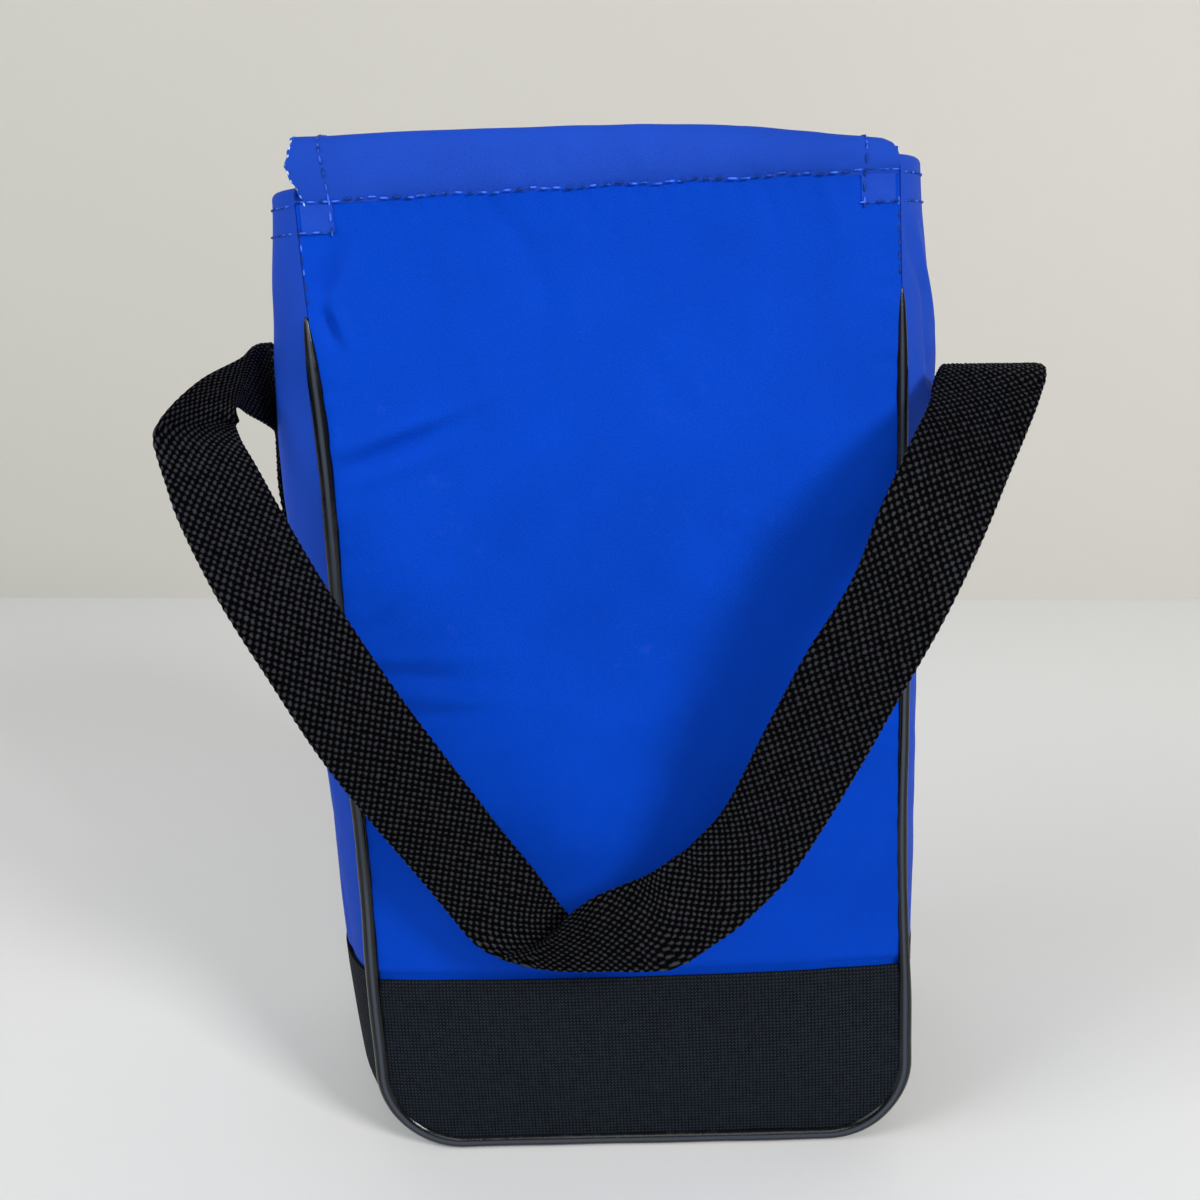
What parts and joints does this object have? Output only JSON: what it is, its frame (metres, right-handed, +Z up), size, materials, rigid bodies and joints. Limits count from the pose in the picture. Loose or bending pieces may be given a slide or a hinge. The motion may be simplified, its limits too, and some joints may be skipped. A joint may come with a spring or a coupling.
{
  "type": "insulated lunch bag",
  "caption": "Upright soft insulated lunch bag with piped seams, a dark base band, a fold-over flap closed by hook-and-loop tape, and a hanging webbing carry strap.",
  "frame": {"origin": "centre of the flat base, on the surface that the bag stands on", "axes": "+Z up the bag, -Y out of the back panel that the strap hangs over, +X to the right when facing that panel"},
  "size_m": [0.2338, 0.1245, 0.2851],
  "materials": {
    "blue_cloth": "royal blue plain-woven nylon with a soft coated sheen",
    "black_canvas": "coarse black basket-woven polyester",
    "piping": "glossy black vinyl over cord",
    "foam_padding": "white closed-cell foam sheet",
    "board": "matte dark stiffening sheet",
    "lining": "silver-grey foil-faced lining film",
    "binding": "black woven binding tape",
    "loop_tape": "black brushed loop pile",
    "hook_tape": "black moulded hooks on woven tape",
    "webbing": "black plain-woven polypropylene webbing",
    "thread": "pale polyester sewing thread"
  },
  "bodies": {
    "bag": {"back_panel_upper": "blue_cloth", "back_panel_base": "black_canvas", "front_panel_upper": "blue_cloth", "front_panel_base": "black_canvas", "side_gusset_left": "blue_cloth", "side_gusset_right": "blue_cloth", "base_gusset": "black_canvas", "back_piping": "piping", "front_piping": "piping", "back_foam": "foam_padding", "front_foam": "foam_padding", "side_foam_left": "foam_padding", "side_foam_right": "foam_padding", "base_foam": "foam_padding", "base_board": "board", "back_lining": "lining", "front_lining": "lining", "side_lining_left": "lining", "side_lining_right": "lining", "base_lining": "lining", "back_seam_binding": "binding", "front_seam_binding": "binding", "loop_strip": "loop_tape", "strap_end_left": "webbing", "strap_end_right": "webbing", "strap_stitching_left": "thread", "strap_stitching_right": "thread"},
    "flap_roof": {"flap_top_shell": "blue_cloth", "flap_top_foam": "foam_padding", "flap_top_lining": "lining"},
    "flap_drop": {"flap_front_shell": "blue_cloth", "flap_front_foam": "foam_padding", "flap_front_lining": "lining", "hook_strip": "hook_tape"},
    "strap": {"carry_strap": "webbing"}
  },
  "joints": [
    {"name": "flap_lift", "type": "hinge", "parent": "bag", "child": "flap_roof", "pos_m": [0, -0.03111, 0.285], "axis": [1, 0, 0], "range_deg": [0, 175]},
    {"name": "flap_unfold", "type": "hinge", "parent": "flap_roof", "child": "flap_drop", "pos_m": [0, 0.03792, 0.285], "axis": [1, 0, 0], "range_deg": [0, 90]},
    {"name": "strap_swing", "type": "hinge", "parent": "bag", "child": "strap", "pos_m": [0, -0.0405, 0.2135], "axis": [-1, 0, 0], "range_deg": [0, 85]}
  ],
  "couplings": [
    {"joint": "flap_unfold", "follows": "flap_lift", "ratio": 0.514}
  ]
}
